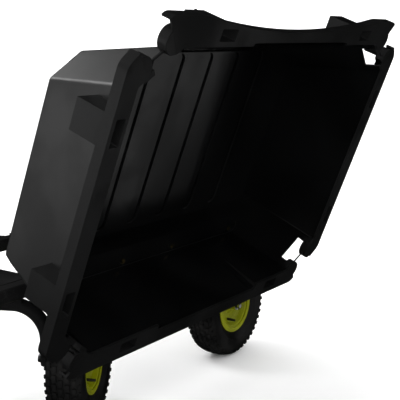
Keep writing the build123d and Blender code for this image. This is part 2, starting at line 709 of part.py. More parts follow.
with BuildPart() as tub_shell:
    add(outer_block)
    add(outer_mid)
    add(ledge_cutter(0.0, 0.0), mode=Mode.SUBTRACT)
    for x, y, size_x, size_y in pockets:
        with BuildSketch(Plane.XY.offset(TUB_TOP_Z - POCKET_DEPTH)):
            reach = 40.0
            if size_x < size_y:
                with Locations((x - (1 if x > 0 else -1) * reach / 2, y)):
                    Rectangle(size_x + 2 * POCKET_WALL + reach, size_y + 2 * POCKET_WALL)
            else:
                with Locations((x, y - (1 if y > 0 else -1) * reach / 2)):
                    Rectangle(size_x + 2 * POCKET_WALL, size_y + 2 * POCKET_WALL + reach)
        extrude(amount=POCKET_DEPTH - RIM_T)
    with BuildSketch(Plane.XY.offset(TUB_TOP_Z - RIM_T)) as rim_face:
        with BuildLine():
            rim_outline()
        make_face()
        fillet(rim_face.vertices().filter_by(lambda v: abs(v.X - TUB_X) > 500), 28.0)
        fillet(rim_face.vertices().filter_by(lambda v: abs(abs(v.X - TUB_X) - RIM_HALF + 200) < 1), 150.0)
    extrude(amount=RIM_T)
    with BuildSketch(Plane.XY.offset(TUB_TOP_Z - SKIRT_HEIGHT)) as skirt_face:
        add(rim_face.sketch.moved(Pos(0, 0, RIM_T - SKIRT_HEIGHT)))
        offset(amount=-SKIRT_T, mode=Mode.SUBTRACT)
    extrude(amount=SKIRT_HEIGHT - RIM_T)
    add(cavity.part, mode=Mode.SUBTRACT)
    with BuildSketch(Plane.XY.offset(TUB_TOP_Z)):
        for x, y, size_x, size_y in pockets:
            with Locations((x, y)):
                RectangleRounded(size_x, size_y, 3)
    extrude(amount=-POCKET_DEPTH, mode=Mode.SUBTRACT)
    for sign_x, sign_y in CORNERS:
        with BuildSketch(notch_plane(sign_x, sign_y, TUB_TOP_Z - NOTCH_DEPTH)):
            with Locations((60, 0)):
                Rectangle(240, NOTCH_WIDTH)
        extrude(amount=2 * NOTCH_DEPTH, mode=Mode.SUBTRACT)
    with BuildSketch(Plane.XY.offset(TUB_FLOOR_Z + TUB_FLOOR_T)):
        with Locations(*[(x, 0) for x in GROOVE_X]):
            SlotOverall(GROOVE[1], GROOVE[0], rotation=90)
    extrude(amount=-GROOVE_DEPTH, mode=Mode.SUBTRACT)
    with BuildSketch(Plane.XY.offset(LEDGE_Z + LEDGE_T)):
        with Locations((TUB_X, (CHANNEL_Y[0] + CHANNEL_Y[1]) / 2)):
            SlotOverall(2 * STRAP_END, CHANNEL_Y[1] - CHANNEL_Y[0])
    extrude(amount=-CHANNEL_DEPTH, mode=Mode.SUBTRACT)
    with Locations(*[(x, HINGE_BOLT_Y, LEDGE_Z) for x in HINGE_BOLT_X]):
        Cylinder(HINGE_BOLT_R, 4 * LEDGE_T, mode=Mode.SUBTRACT)
tub_shell.part.label = "tub_shell"

# ---- Fittings on the tub ----
BOLT_HEAD_R = 7.5
NUT_R = 7.0
LEDGE_TOP_Z = LEDGE_Z + LEDGE_T - CHANNEL_DEPTH
with BuildPart() as channel_bolts:
    for x in HINGE_BOLT_X:
        with BuildSketch(Plane.XY.offset(STRAP_Z - 7.0)):
            with Locations((x, HINGE_BOLT_Y)):
                RegularPolygon(NUT_R, 6)
        extrude(amount=7.0)
        with BuildSketch(Plane.XY.offset(STRAP_Z)):
            with Locations((x, HINGE_BOLT_Y)):
                Circle(HINGE_BOLT_R)
        extrude(amount=LEDGE_TOP_Z - STRAP_Z)
        with BuildSketch(Plane.XY.offset(LEDGE_TOP_Z)):
            with Locations((x, HINGE_BOLT_Y)):
                Circle(BOLT_HEAD_R)
        extrude(amount=5.0)
    heads = channel_bolts.faces().sort_by(Axis.Z)[-len(HINGE_BOLT_X):]
    fillet([edge for head in heads for edge in head.edges()], 3.0)
channel_bolts.part.label = "channel_bolts"

# A rod under the rim bridges each corner notch, with a round nut at each end.
CORNER_ROD_R = 2.5
CORNER_NUT_R = 6.0
CORNER_ROD_LENGTH = NOTCH_WIDTH + 34.0
with BuildPart() as corner_rods:
    for sign_x, sign_y in CORNERS:
        flat = notch_plane(sign_x, sign_y, TUB_TOP_Z - RIM_T - CORNER_NUT_R)
        across_rod = Plane(origin=flat.origin + flat.x_dir * 14.0, x_dir=(0, 0, 1), z_dir=flat.y_dir)
        with BuildSketch(across_rod.offset(-CORNER_ROD_LENGTH / 2)):
            Circle(CORNER_ROD_R)
        extrude(amount=CORNER_ROD_LENGTH)
        for end in (-1, 1):
            with BuildSketch(across_rod.offset(end * CORNER_ROD_LENGTH / 2)):
                Circle(CORNER_NUT_R)
            extrude(amount=-end * 7.0)
corner_rods.part.label = "corner_rods"

# ---- Latch on the far side: a slotted hook that swings onto a bar on the right rail ----
LATCH_Y, LATCH_Z = -300.0, 430.0
STRIKER_Y, STRIKER_Z = -262.0, 380.0
STRIKER_R = 6.0
LATCH_OPEN = 50.0
HOOK_T = 6.0
HOOK_R = hypot(STRIKER_Y - LATCH_Y, STRIKER_Z - LATCH_Z)
SLOT_HALF = STRIKER_R + 0.6
CHEEK_T = 4.0
CHEEK_X = HOOK_T / 2 + GAP + CHEEK_T / 2
PIVOT_R = 5.0
LATCH_AT = (0, LATCH_Y, LATCH_Z)
LATCHED_OPEN = TIPPED * about(LATCH_AT, Rot(-LATCH_OPEN, 0, 0))


def far_wall_y(z):
    """The outside of the far wall at height z, where it bows out."""
    return -max(-blend(MID_FLOOR[0], MID_RIM[0], z), blend(FLOOR_PLAN["far"], RIM_PLAN["far"], z))


BASE_Z = (TUB_FLOOR_Z + 18.0, TUB_FLOOR_Z + 64.0)
BASE_T = 4.0
with BuildPart() as latch_bracket:
    add(
        slab(
            0.0,
            64.0,
            [
                (far_wall_y(BASE_Z[0]), BASE_Z[0]),
                (far_wall_y(BASE_Z[1]), BASE_Z[1]),
                (far_wall_y(BASE_Z[1]) - BASE_T, BASE_Z[1]),
                (far_wall_y(BASE_Z[0]) - BASE_T, BASE_Z[0]),
            ],
        )
    )
    for side in (-1, 1):
        add(
            slab(
                side * CHEEK_X,
                CHEEK_T,
                [
                    (far_wall_y(BASE_Z[0]) - 1, BASE_Z[0]),
                    (far_wall_y(BASE_Z[1]) - 1, BASE_Z[1]),
                    (LATCH_Y - 9.0, LATCH_Z + 10.0),
                    (LATCH_Y - 11.0, LATCH_Z - 9.0),
                    (LATCH_Y, LATCH_Z - 12.0),
                ],
            )
        )
    with BuildSketch(across(-40)):
        with Locations((LATCH_Y, LATCH_Z)):
            Circle(PIVOT_R)
    extrude(amount=80, mode=Mode.SUBTRACT)
latch_bracket.part.label = "latch_bracket"

with BuildPart() as latch_pivot:
    for start, stop, radius in ((-CHEEK_X - 5, CHEEK_X + 5, PIVOT_R), (CHEEK_X + CHEEK_T / 2, CHEEK_X + 6, 8.0)):
        with BuildSketch(across(start)):
            with Locations((LATCH_Y, LATCH_Z)):
                Circle(radius)
        extrude(amount=stop - start)
    with BuildSketch(across(-CHEEK_X - CHEEK_T / 2)):
        with Locations((LATCH_Y, LATCH_Z)):
            RegularPolygon(8.0, 6)
    extrude(amount=-5.0)
latch_pivot.part.label = "latch_pivot"

HOOK_ANGLE = -52.8
with BuildPart() as latch_lever:
    with BuildSketch(across(-HOOK_T / 2)):
        with Locations((LATCH_Y, LATCH_Z)):
            Circle(13.0)
            with Locations(Rot(0, 0, HOOK_ANGLE - 26.0)):
                with Locations((HOOK_R / 2, 0)):
                    Rectangle(HOOK_R, 16.0)
            with Locations(Rot(0, 0, 168.0)):
                with Locations((62.0, 0)):
                    SlotOverall(124.0, 18.0)
        with BuildLine():
            inner = CenterArc((LATCH_Y, LATCH_Z), HOOK_R - 18, HOOK_ANGLE - 34, 46)
            outer = CenterArc((LATCH_Y, LATCH_Z), HOOK_R + 16, HOOK_ANGLE - 34, 46)
            Line(inner @ 0, outer @ 0)
            Line(inner @ 1, outer @ 1)
        make_face()
        with BuildLine():
            near = CenterArc((LATCH_Y, LATCH_Z), HOOK_R - SLOT_HALF, HOOK_ANGLE - 8, 30)
            away = CenterArc((LATCH_Y, LATCH_Z), HOOK_R + SLOT_HALF, HOOK_ANGLE - 8, 30)
            Line(near @ 0, away @ 0)
            Line(near @ 1, away @ 1)
        make_face(mode=Mode.SUBTRACT)
        with Locations((LATCH_Y, LATCH_Z)):
            Circle(PIVOT_R + RUN, mode=Mode.SUBTRACT)
    extrude(amount=HOOK_T)
latch_lever.part.label = "latch_lever"

with BuildPart() as latch_striker:
    for side in (-1, 1):
        add(
            slab(
                side * 22.0,
                5.0,
                [
                    (-RAIL_SIDE_Y, STRIKER_Z - 14.0),
                    (STRIKER_Y - 9.0, STRIKER_Z - 10.0),
                    (STRIKER_Y - 9.0, STRIKER_Z + 10.0),
                    (-RAIL_SIDE_Y, STRIKER_Z + 14.0),
                ],
            )
        )
    with BuildSketch(across(-28.0)):
        with Locations((STRIKER_Y, STRIKER_Z)):
            Circle(STRIKER_R)
    extrude(amount=56.0)
latch_striker.part.label = "latch_striker"

# ---- Rubber stops and rests ----
STOP_Z = (EAR_ARM_Z[0], EAR_ARM_Z[0] + 16.0)
STOP_LENGTH = 26.0


def tipped_wall_y(z):
    """Where the tipped dump wall's outer face stands at height z."""
    base = (blend(FLOOR_PLAN["dump"], RIM_PLAN["dump"], LEDGE_Z), LEDGE_Z)
    lean = (RIM_PLAN["dump"] - FLOOR_PLAN["dump"], TUB_DEPTH)
    c, s = cos(radians(TIP_ANGLE)), sin(radians(TIP_ANGLE))
    dy, dz = base[0] - HINGE_Y, base[1] - HINGE_Z
    start = (HINGE_Y + dy * c + dz * s, HINGE_Z - dy * s + dz * c)
    way = (lean[0] * c + lean[1] * s, -lean[0] * s + lean[1] * c)
    return start[0] + (z - start[1]) * way[0] / way[1]


with BuildPart() as dump_stops:
    for x in (EAR_X[0], EAR_X[-1]):
        add(
            slab(
                x,
                STOP_LENGTH,
                [
                    (EAR_ARM_Y, STOP_Z[0]),
                    (EAR_ARM_Y, STOP_Z[1]),
                    (tipped_wall_y(STOP_Z[1]) - 2.5 * GAP, STOP_Z[1]),
                    (tipped_wall_y(STOP_Z[0]) - 2.5 * GAP, STOP_Z[0]),
                ],
            )
        )
dump_stops.part.label = "dump_stops"

REST_X = 330.0
with BuildPart() as tub_rests:
    with BuildSketch(Plane.XY.offset(RAIL_TOP_Z)):
        with GridLocations(2 * REST_X, 2 * RAIL_Y, 2, 2):
            RectangleRounded(70, 32, 6)
    extrude(amount=TUB_FLOOR_Z - GAP - RAIL_TOP_Z)
    chamfer(tub_rests.faces().group_by(Axis.Z)[-1].edges(), 1.0)
tub_rests.part.label = "tub_rests"

# ---- Drawbar ----
EAR_GAP = 2 * TUBE_R + 2 * GAP + 2.0
BRACKET_T = 6.0
PIVOT_BOLT_R = 8.0
BRACKET_FACE_X = FRONT_X + BOLSTER_WIDTH / 2
with BuildPart() as drawbar_bracket:
    with Locations((BRACKET_FACE_X + BRACKET_T / 2, 0, BOLSTER_TOP_Z - BOLSTER_HEIGHT / 2)):
        Box(BRACKET_T, EAR_GAP + 2 * BRACKET_T + 36, BOLSTER_HEIGHT)
    for side in (-1, 1):
        with BuildSketch(lengthwise(side * (EAR_GAP + BRACKET_T) / 2 + BRACKET_T / 2)):
            with BuildLine():
                Polyline(
                    (BRACKET_FACE_X, ARCH_TOP_Z),
                    (PIVOT_X, PIVOT_Z - 17.0),
                    (PIVOT_X, PIVOT_Z + 17.0),
                    (BRACKET_FACE_X, BOLSTER_TOP_Z),
                    close=True,
                )
            make_face()
            with Locations((PIVOT_X, PIVOT_Z)):
                Circle(17.0)
                Circle(PIVOT_BOLT_R, mode=Mode.SUBTRACT)
        extrude(amount=BRACKET_T)
drawbar_bracket.part.label = "drawbar_bracket"

BOLT_REACH = EAR_GAP / 2 + BRACKET_T
with BuildPart() as drawbar_bolt:
    with BuildSketch(lengthwise(BOLT_REACH + 14.0)):
        with Locations((PIVOT_X, PIVOT_Z)):
            Circle(PIVOT_BOLT_R)
    extrude(amount=2 * BOLT_REACH + 14.0)
    with BuildSketch(lengthwise(-BOLT_REACH)):
        with Locations((PIVOT_X, PIVOT_Z)):
            RegularPolygon(12.0, 6, major_radius=False)
    extrude(amount=9.0)
    with BuildSketch(lengthwise(BOLT_REACH + 10.0)):
        with Locations((PIVOT_X, PIVOT_Z)):
            RegularPolygon(12.0, 6, major_radius=False)
    extrude(amount=10.0)
drawbar_bolt.part.label = "drawbar_bolt"

BAR_START_X = PIVOT_X + 26.0
BAR_END_X = PIVOT_X + DRAWBAR_LENGTH - 70.0
with BuildPart() as drawbar:
    with BuildSketch(across(BAR_START_X)):
        with Locations((0, PIVOT_Z)):
            Circle(TUBE_R)
            Circle(TUBE_R - TUBE_WALL, mode=Mode.SUBTRACT)
    extrude(amount=BAR_END_X - BAR_START_X)
drawbar.part.label = "drawbar"

# The eye that the pivot bolt passes through, on a tongue inside the drawbar's end.
with BuildPart() as drawbar_eye:
    with BuildSketch(lengthwise(TUBE_R)):
        with Locations((PIVOT_X, PIVOT_Z)):
            Circle(15.0)
    extrude(amount=2 * TUBE_R)
    with Locations((PIVOT_X + 18.0, 0, PIVOT_Z)):
        Box(16.0, 2 * TUBE_R - 6, 26.0)
    with BuildSketch(across(BAR_START_X)):
        with Locations((0, PIVOT_Z)):
            Circle(TUBE_R - TUBE_WALL)
    extrude(amount=40.0)
    with BuildSketch(lengthwise(TUBE_R)):
        with Locations((PIVOT_X, PIVOT_Z)):
            Circle(PIVOT_BOLT_R + RUN)
    extrude(amount=2 * TUBE_R, mode=Mode.SUBTRACT)
drawbar_eye.part.label = "drawbar_eye"

# Hitch clevis: two plates welded above and below a block on the drawbar's front end.
HITCH_X = PIVOT_X + DRAWBAR_LENGTH
with BuildPart() as hitch_clevis:
    with BuildSketch(across(BAR_END_X)):
        with Locations((0, PIVOT_Z)):
            Circle(TUBE_R - TUBE_WALL)
    extrude(amount=-40.0)
    with Locations((BAR_END_X + 9.0, 0, PIVOT_Z)):
        Box(18.0, 50.0, HITCH_GAP)
    for side in (-1, 1):
        with BuildSketch(Plane.XY.offset(PIVOT_Z + side * (HITCH_GAP + HITCH_PLATE_T) / 2 - HITCH_PLATE_T / 2)):
            with BuildLine():
                Polyline((BAR_END_X, -25), (HITCH_X, -22), (HITCH_X, 22), (BAR_END_X, 25), close=True)
            make_face()
            with Locations((HITCH_X, 0)):
                Circle(22.0)
                Circle(HITCH_PIN_R + RUN, mode=Mode.SUBTRACT)
        extrude(amount=HITCH_PLATE_T)
hitch_clevis.part.label = "hitch_clevis"

PIN_TOP_Z = PIVOT_Z + HITCH_GAP / 2 + HITCH_PLATE_T + GAP
PIN_LENGTH = 96.0
HANDLE_R = 5.0
with BuildPart() as hitch_pin:
    with BuildSketch(Plane.XY.offset(PIN_TOP_Z)):
        with Locations((HITCH_X, 0)):
            Circle(HITCH_PIN_R)
    extrude(amount=-PIN_LENGTH)
    chamfer(hitch_pin.faces().sort_by(Axis.Z)[0].edges(), 3.0)
    with BuildSketch(Plane.XY.offset(PIN_TOP_Z)):
        with Locations((HITCH_X, 0)):
            Circle(HITCH_PIN_R + 6)
    extrude(amount=7.0)
    with BuildLine(Plane(origin=(HITCH_X, 0, PIN_TOP_Z + 5.0), x_dir=(0, 1, 0), z_dir=(1, 0, 0))) as loop:
        FilletPolyline((0, 0), (0, 26), (46, 26), radius=14.0)
    with BuildSketch(Plane.XY.offset(PIN_TOP_Z + 5.0)):
        with Locations((HITCH_X, 0)):
            Circle(HANDLE_R)
    sweep(path=loop.wires()[0])
hitch_pin.part.label = "hitch_pin"

# ---- Rest poses, origin and files ----
ARCHED = [front_axle_arch, front_bolster, lower_turntable_plate, front_spindles, front_spacers]
ARCHED += [front_split_pins, drawbar_bracket, drawbar_bolt]
STANDING = [left_rail, right_rail, rail_end_caps, front_crossmember, centre_crossmember, rear_crossmember]
STANDING += [rear_axle_arch, rear_bolster, upper_turntable_plate, kingpin, kingpin_nut, rear_spindles]
STANDING += [rear_spacers, rear_split_pins, hinge_ears, hinge_rod, latch_striker, dump_stops, tub_rests]
POSES = [
    (AS_BUILT, STANDING + wheel_pieces["rear_left"] + wheel_pieces["rear_right"]),
    (STEERED, ARCHED + wheel_pieces["front_left"] + wheel_pieces["front_right"]),
    (LOWERED, [drawbar, drawbar_eye, hitch_clevis, hitch_pin]),
    (TIPPED, [tub_shell, hinge_strap, channel_bolts, corner_rods, latch_bracket, latch_pivot]),
    (LATCHED_OPEN, [latch_lever]),
]

# The origin is on the ground, under the middle of the whole cart as it stands at rest.
posed = []
for pose, pieces in POSES:
    for piece in pieces:
        solid = piece.part.moved(pose)
        solid.label = piece.part.label
        posed.append(solid)
extent = Compound(posed).bounding_box()
middle = extent.center()
print("origin shift", middle.X, middle.Y, extent.min.Z, "size", extent.size)
for solid in posed:
    label = solid.label
    solid = solid.moved(Pos(-middle.X, -middle.Y, -extent.min.Z))
    solid.label = label
    export_step(solid, f"parts/{label}.step")
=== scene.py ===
import json
from math import cos, pi, radians, sin

import bpy
from mathutils import Matrix, Vector


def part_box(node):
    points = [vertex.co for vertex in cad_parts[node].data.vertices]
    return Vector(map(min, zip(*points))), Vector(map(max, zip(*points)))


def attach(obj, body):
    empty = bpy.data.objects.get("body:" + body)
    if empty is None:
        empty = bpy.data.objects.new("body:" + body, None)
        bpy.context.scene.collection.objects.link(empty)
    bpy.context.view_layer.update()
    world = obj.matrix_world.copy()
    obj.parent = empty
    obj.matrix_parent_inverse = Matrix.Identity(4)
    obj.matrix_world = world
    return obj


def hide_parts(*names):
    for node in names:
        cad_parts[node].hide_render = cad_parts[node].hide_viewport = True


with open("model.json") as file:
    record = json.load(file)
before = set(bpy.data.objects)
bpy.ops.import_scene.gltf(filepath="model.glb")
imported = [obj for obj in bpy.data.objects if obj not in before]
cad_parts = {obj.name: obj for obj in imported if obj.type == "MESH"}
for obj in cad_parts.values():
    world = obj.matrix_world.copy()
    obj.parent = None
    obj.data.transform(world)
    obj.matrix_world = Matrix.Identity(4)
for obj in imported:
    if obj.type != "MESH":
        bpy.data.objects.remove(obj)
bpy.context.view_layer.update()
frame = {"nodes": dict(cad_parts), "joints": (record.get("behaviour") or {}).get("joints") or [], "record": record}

# ---- Tub ----
# The tub is one moulding of black polyethylene. The mould leaves the outside finely grained and a little grey, and
# the inside smooth and glossy;
# the inside's darker black is partly painted shade of the tub's hollow. Its rim flange has the outside's grain on
# every face.
joints = {joint["name"]: joint for joint in frame["joints"]}
tip_angle = radians(joints["tub_tip"]["range_deg"][1])
tub_up = Vector((0, sin(tip_angle), cos(tip_angle)))
rim_height = max(tub_up.dot(v.co) for v in frame["nodes"]["tub_shell"].data.vertices)
RIM_ZONE = 0.0065


def add_node(tree, kind, **inputs):
    """A shader node with its named inputs set, or linked where the value is another node's output."""
    node = tree.nodes.new(kind)
    for name, value in inputs.items():
        by_place = name[0] == "i" and name[1:].isdigit()
        socket = node.inputs[int(name[1:]) if by_place else name.replace("_", " ")]
        if isinstance(value, bpy.types.NodeSocket):
            tree.links.new(value, socket)
        else:
            socket.default_value = value
    return node


def math_node(tree, operation, *values):
    """The output of a math node on one, two or three values."""
    node = add_node(tree, "ShaderNodeMath", **{f"i{n}": value for n, value in enumerate(values)})
    node.operation = operation
    return node.outputs[0]


def spread(tree, value, low, high, out_low, out_high):
    """The value, taken from low..high to out_low..out_high and held at both ends."""
    limits = {"From_Min": low, "From_Max": high, "To_Min": out_low, "To_Max": out_high}
    node = add_node(tree, "ShaderNodeMapRange", Value=value, **limits)
    node.interpolation_type = "SMOOTHSTEP"
    return node.outputs["Result"]


def mix_colour(tree, factor, first, second):
    """One colour shading into another by a mask."""
    node = tree.nodes.new("ShaderNodeMix")
    node.data_type = "RGBA"
    tree.links.new(factor, node.inputs["Factor"])
    for socket, value in ((node.inputs[6], first), (node.inputs[7], second)):
        if isinstance(value, bpy.types.NodeSocket):
            tree.links.new(value, socket)
        else:
            socket.default_value = (*value, 1.0)
    return node.outputs[2]


def mix_value(tree, factor, first, second):
    """One number shading into another by a mask."""
    return math_node(tree, "MULTIPLY_ADD", factor, second - first, first)


def make_surface_group():
    """Grain, cloudy variation and fine scuffs, shared by every finish on the cart."""
    group = bpy.data.node_groups.new("surface_wear", "ShaderNodeTree")
    for name in ("Grain Scale", "Cloud Scale", "Scuff Scale"):
        group.interface.new_socket(name=name, in_out="INPUT", socket_type="NodeSocketFloat")
    for name in ("Grain", "Cloud", "Scuff"):
        group.interface.new_socket(name=name, in_out="OUTPUT", socket_type="NodeSocketFloat")
    given = group.nodes.new("NodeGroupInput").outputs
    place = group.nodes.new("ShaderNodeTexCoord").outputs["Object"]
    grain = add_node(group, "ShaderNodeTexNoise", Vector=place, Scale=given["Grain Scale"], Detail=3.0)
    cloud = add_node(group, "ShaderNodeTexNoise", Vector=place, Scale=given["Cloud Scale"], Detail=5.0)
    cloud_mask = spread(group, cloud.outputs[0], 0.36, 0.64, 0.0, 1.0)
    drawn_out = {"Rotation": (0.4, 0.7, 0.2), "Scale": (1.0, 7.0, 1.6)}
    drawn = add_node(group, "ShaderNodeMapping", Vector=place, **drawn_out).outputs[0]
    lines = add_node(group, "ShaderNodeTexNoise", Vector=drawn, Scale=given["Scuff Scale"], Detail=2.0)
    middle = math_node(group, "ABSOLUTE", math_node(group, "SUBTRACT", lines.outputs[0], 0.5))
    scuff = math_node(group, "MULTIPLY", spread(group, middle, 0.0, 0.009, 1.0, 0.0), cloud_mask)
    out = group.nodes.new("NodeGroupOutput")
    for name, value in (("Grain", grain.outputs[0]), ("Cloud", cloud_mask), ("Scuff", scuff)):
        group.links.new(value, out.inputs[name])
    return group


surface_wear = make_surface_group()


def start_finish(name, grain_scale, cloud_scale, scuff_scale):
    """A new material with the shared wear group in it, ready to be wired to its shader."""
    material = bpy.data.materials.new(name)
    material.use_nodes = True
    tree = material.node_tree
    wear = tree.nodes.new("ShaderNodeGroup")
    wear.node_tree = surface_wear
    for socket, value in zip(wear.inputs, (grain_scale, cloud_scale, scuff_scale)):
        socket.default_value = value
    return material, tree, tree.nodes["Principled BSDF"], wear.outputs


def bump(tree, shader, height, strength, distance):
    """Gives the shader a relief from a height."""
    relief = add_node(tree, "ShaderNodeBump", Height=height, Strength=strength, Distance=distance)
    tree.links.new(relief.outputs["Normal"], shader.inputs["Normal"])


def dress(nodes, material):
    """Puts a finish on CAD pieces by their names."""
    for name in nodes:
        for piece_slot in frame["nodes"][name].material_slots:
            piece_slot.material = material


polyethylene, tree, shader, wear = start_finish("moulded_polyethylene", 620.0, 5.5, 34.0)
coordinates = tree.nodes.new("ShaderNodeTexCoord").outputs


def along_up(vector):
    """How far a place or a normal points along the tub's own upward direction."""
    node = add_node(tree, "ShaderNodeVectorMath", i0=vector, i1=tub_up)
    node.operation = "DOT_PRODUCT"
    return node.outputs["Value"]


faces_in = spread(tree, along_up(coordinates["Normal"]), 0.02, 0.06, 0.0, 1.0)
below_rim = math_node(tree, "LESS_THAN", along_up(coordinates["Object"]), rim_height - RIM_ZONE)
inside = math_node(tree, "MULTIPLY", faces_in, below_rim)
outside_colour = mix_colour(tree, wear["Cloud"], (0.0042, 0.0043, 0.0044), (0.0068, 0.0069, 0.0070))
outside_colour = mix_colour(tree, wear["Scuff"], outside_colour, (0.015, 0.015, 0.016))
# The inside's darker black stands partly for the smoother moulding and partly for painted shade of the tub's
# hollow.
inside_black_and_painted_shade = mix_colour(tree, wear["Cloud"], (0.0012, 0.0013, 0.0014), (0.0024, 0.0025, 0.0026))
tree.links.new(mix_colour(tree, inside, outside_colour, inside_black_and_painted_shade), shader.inputs["Base Color"])
outside_rough = mix_value(tree, wear["Cloud"], 0.50, 0.42)
gloss_step = math_node(tree, "MULTIPLY", inside, -0.25)
tree.links.new(math_node(tree, "ADD", outside_rough, gloss_step), shader.inputs["Roughness"])
grain_share = mix_value(tree, inside, 1.0, 0.12)
bump(tree, shader, math_node(tree, "MULTIPLY", wear["Grain"], grain_share), 0.35, 0.0006)
shader.inputs["Specular IOR Level"].default_value = 0.45

# The moulding has no sharp edge anywhere, because plastic can't flow into one, so the shell is finished
# as a copy of the designed shape with every edge eased.
EDGE_EASE = 0.0024
EASED_ANGLE = radians(34)
FLAT_WITHIN = radians(0.6)


def only_active(piece):
    """Leaves just this piece selected and active."""
    bpy.ops.object.select_all(action="DESELECT")
    piece.select_set(True)
    bpy.context.view_layer.objects.active = piece


shell = bpy.data.objects.new("moulded_tub", frame["nodes"]["tub_shell"].data.copy())
bpy.context.scene.collection.objects.link(shell)
only_active(shell)
bpy.ops.object.mode_set(mode="EDIT")
bpy.ops.mesh.select_all(action="SELECT")
bpy.ops.mesh.remove_doubles(threshold=0.00001)
bpy.ops.mesh.dissolve_limited(angle_limit=FLAT_WITHIN)
bpy.ops.object.mode_set(mode="OBJECT")
easing = shell.modifiers.new("easing", "BEVEL")
easing.width = EDGE_EASE
easing.segments = 3
easing.limit_method = "ANGLE"
easing.angle_limit = EASED_ANGLE
easing.harden_normals = True
bpy.ops.object.modifier_apply(modifier="easing")

# The rim ends in a thick rounded ear at each side of a corner notch, with a tab down the wall, and the
# notch's rod runs from ear to ear.
EAR_RADIUS = 0.030
EAR_DEPTH = 0.026
EAR_SIZE = (EAR_RADIUS, EAR_RADIUS, EAR_DEPTH)
EAR_OUT = 0.010
EAR_APART = 0.050
EAR_SUNK = 0.0004
EAR_EASE = 0.003
TAB_SIZE = (0.016, 0.032, 0.046)
TAB_IN = -0.019
TAB_APART = 0.034
hinge_point = Vector(joints["tub_tip"]["pos_m"])
to_hinge, from_hinge = Matrix.Translation(hinge_point), Matrix.Translation(-hinge_point)
tipping = to_hinge @ Matrix.Rotation(-tip_angle, 4, "X") @ from_hinge
level_rods = [tipping.inverted() @ v.co for v in frame["nodes"]["corner_rods"].data.vertices]
rods_middle = sum(level_rods, Vector()) / len(level_rods)
rim_top = max((tipping.inverted() @ v.co).z for v in frame["nodes"]["tub_shell"].data.vertices)


def add_ear_piece(kind, size, place):
    """One eased solid of an ear, set in the level tub and then tipped with it."""
    bpy.ops.object.select_all(action="DESELECT")
    if kind == "disc":
        bpy.ops.mesh.primitive_cylinder_add(vertices=48, radius=size[0], depth=size[2])
    else:
        bpy.ops.mesh.primitive_cube_add(size=1, scale=size)
    piece = bpy.context.active_object
    bpy.ops.object.transform_apply(location=True, rotation=True, scale=True)
    bpy.ops.object.mode_set(mode="EDIT")
    bpy.ops.mesh.select_all(action="SELECT")
    bpy.ops.mesh.bevel(offset=EAR_EASE, segments=3, affect="EDGES", clamp_overlap=True)
    bpy.ops.object.mode_set(mode="OBJECT")
    bpy.ops.object.shade_smooth_by_angle(angle=radians(40))
    piece.data.transform(tipping @ place)
    return piece


ears, tabs = [], []
for sign_x in (-1, 1):
    for sign_y in (-1, 1):
        offsets = ((p, p - rods_middle) for p in level_rods)
        rod = [p for p, away in offsets if away.x * sign_x > 0 and away.y * sign_y > 0]
        centre = sum(rod, Vector()) / len(rod)
        end = max(rod, key=lambda p: (p - centre).length)
        along = Vector((end.x - centre.x, end.y - centre.y, 0)).normalized()
        outward = Vector((along.y, -along.x, 0))
        if outward.dot(Vector((sign_x, sign_y, 0))) < 0:
            outward = -outward
        for way in (-1, 1):
            turned = Matrix((outward, along, outward.cross(along))).transposed().to_4x4()
            ear_at = centre + outward * EAR_OUT + along * way * EAR_APART
            ear_at.z = rim_top - EAR_SUNK - EAR_DEPTH / 2
            tab_at = centre + outward * TAB_IN + along * way * TAB_APART
            tab_at.z = rim_top - 2 * EAR_SUNK - TAB_SIZE[2] / 2
            ears.append(add_ear_piece("disc", EAR_SIZE, Matrix.Translation(ear_at) @ turned))
            tabs.append(add_ear_piece("tab", TAB_SIZE, Matrix.Translation(tab_at) @ turned))
for added in (ears, tabs):
    bpy.ops.object.select_all(action="DESELECT")
    for piece in added:
        piece.select_set(True)
    bpy.context.view_layer.objects.active = added[0]
    bpy.ops.object.join()
    only_active(shell)
    fusing = shell.modifiers.new("fusing", "BOOLEAN")
    fusing.operation = "UNION"
    fusing.object = added[0]
    bpy.ops.object.modifier_apply(modifier="fusing")
    bpy.data.objects.remove(added[0])
bpy.ops.object.shade_smooth_by_angle(angle=radians(36))
evening = shell.modifiers.new("evening", "WEIGHTED_NORMAL")
evening.keep_sharp = True
bpy.ops.object.modifier_apply(modifier="evening")
shell.data.materials.clear()
shell.data.materials.append(polyethylene)
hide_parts("tub_shell")
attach(shell, "tub")

# ---- Frame, axles and drawbar ----
# Welded steel tube and folded sheet, powder coated satin black after welding. The coat has a slight
# orange peel, and thin bright scuffs where loads and tools have rubbed it.
powder_coat, tree, shader, wear = start_finish("black_powder_coat", 300.0, 7.0, 26.0)
coat_colour = mix_colour(tree, wear["Cloud"], (0.004, 0.004, 0.0042), (0.0075, 0.0075, 0.0078))
coat_colour = mix_colour(tree, wear["Scuff"], coat_colour, (0.035, 0.035, 0.035))
tree.links.new(coat_colour, shader.inputs["Base Color"])
shader.inputs["Specular IOR Level"].default_value = 0.35
tree.links.new(mix_value(tree, wear["Cloud"], 0.30, 0.40), shader.inputs["Roughness"])
bump(tree, shader, wear["Grain"], 0.18, 0.0005)
by_slot = {}
for entry in frame["record"]["subparts"]:
    by_slot.setdefault(entry["material_slot"], []).append(entry["node"])
dress(by_slot["black_paint"], powder_coat)

